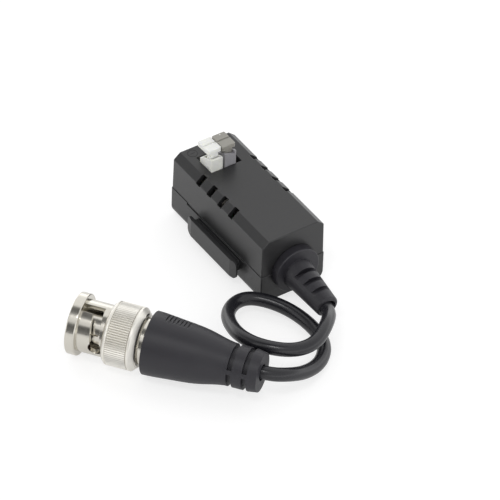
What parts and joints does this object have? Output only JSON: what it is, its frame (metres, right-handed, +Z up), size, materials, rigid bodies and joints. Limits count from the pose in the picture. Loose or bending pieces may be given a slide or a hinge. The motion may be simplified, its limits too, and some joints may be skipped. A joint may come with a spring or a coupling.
{
  "type": "video balun",
  "caption": "Small black video balun box with two push terminals, a joining rail and slot on its sides, and a short coaxial lead ending in a bayonet plug.",
  "frame": {"origin": "centre of the box's flat underside, on the surface it stands on", "axes": "+Z up; +Y along the box towards the wire entries, the cable leaves at -Y; -X is the side with the joining rail"},
  "size_m": [0.0653, 0.0664, 0.023],
  "materials": {
    "black_abs": "fine satin, moulded black ABS",
    "black_pvc": "smooth black PVC jacket",
    "black_rubber": "matt black PVC, soft",
    "board_green": "green glass-epoxy board",
    "ceramic": "ceramic",
    "chip_black": "thick-film chip",
    "chip_tan": "ceramic chip",
    "copper": "bare copper",
    "enamel_wire": "enamelled copper wire",
    "ferrite": "ferrite",
    "gold": "gold-plated brass",
    "grey_nylon": "grey nylon",
    "nickel": "nickel-plated brass",
    "ptfe": "PTFE",
    "seal_rubber": "silicone ring",
    "spring_steel": "bright spring steel",
    "tinned_copper": "tinned copper alloy",
    "white_nylon": "translucent natural nylon"
  },
  "bodies": {
    "balun": {"cable": "black_pvc", "cable_boot": "black_rubber", "cable_inner_end": "black_pvc", "cable_plug_tail": "black_pvc", "capacitor_1": "chip_tan", "capacitor_2": "chip_tan", "centre_pin": "gold", "circuit_board": "board_green", "clamp_minus": "spring_steel", "clamp_plus": "spring_steel", "contact_minus": "tinned_copper", "contact_plus": "tinned_copper", "core_tail": "copper", "crimp_ferrule": "nickel", "gasket": "seal_rubber", "insulator": "ptfe", "lower_shell": "black_abs", "outer_contact": "nickel", "plug_body": "nickel", "plug_boot": "black_rubber", "resistor_1": "chip_black", "resistor_2": "chip_black", "shield_tail": "tinned_copper", "surge_tube": "ceramic", "terminal_body_minus": "white_nylon", "terminal_body_plus": "grey_nylon", "transformer_core": "ferrite", "transformer_winding_1": "enamel_wire", "transformer_winding_2": "enamel_wire", "upper_shell": "black_abs", "wave_washer": "spring_steel"},
    "lever_minus": {"lever_minus": "white_nylon"},
    "lever_plus": {"lever_plus": "grey_nylon"},
    "nut_carrier": {"thrust_washer": "nickel"},
    "nut": {"coupling_nut": "nickel", "retaining_ring": "spring_steel"}
  },
  "joints": [
    {"name": "lever_minus_press", "type": "hinge", "parent": "balun", "child": "lever_minus", "pos_m": [-0.00295, 0.01, 0.0174], "axis": [-1, 0, 0], "range_deg": [-3.5, 10.5], "stiffness_Nm_per_rad": 0.02, "deforming": ["clamp_minus"]},
    {"name": "lever_plus_press", "type": "hinge", "parent": "balun", "child": "lever_plus", "pos_m": [0.00065, 0.01, 0.0174], "axis": [-1, 0, 0], "range_deg": [0, 14], "stiffness_Nm_per_rad": 0.02, "springref_deg": -5.73, "deforming": ["clamp_plus"]},
    {"name": "nut_push", "type": "slide", "parent": "balun", "child": "nut_carrier", "axis": [-0.592, 0.8059, 0], "range_m": [0, 0.0006], "stiffness_N_per_m": 10000, "springref_m": -0.0003},
    {"name": "nut_turn", "type": "hinge", "parent": "nut_carrier", "child": "nut", "pos_m": [-0.0512, -0.0082, 0.0073], "axis": [0.592, -0.8059, 0], "continuous": true}
  ]
}
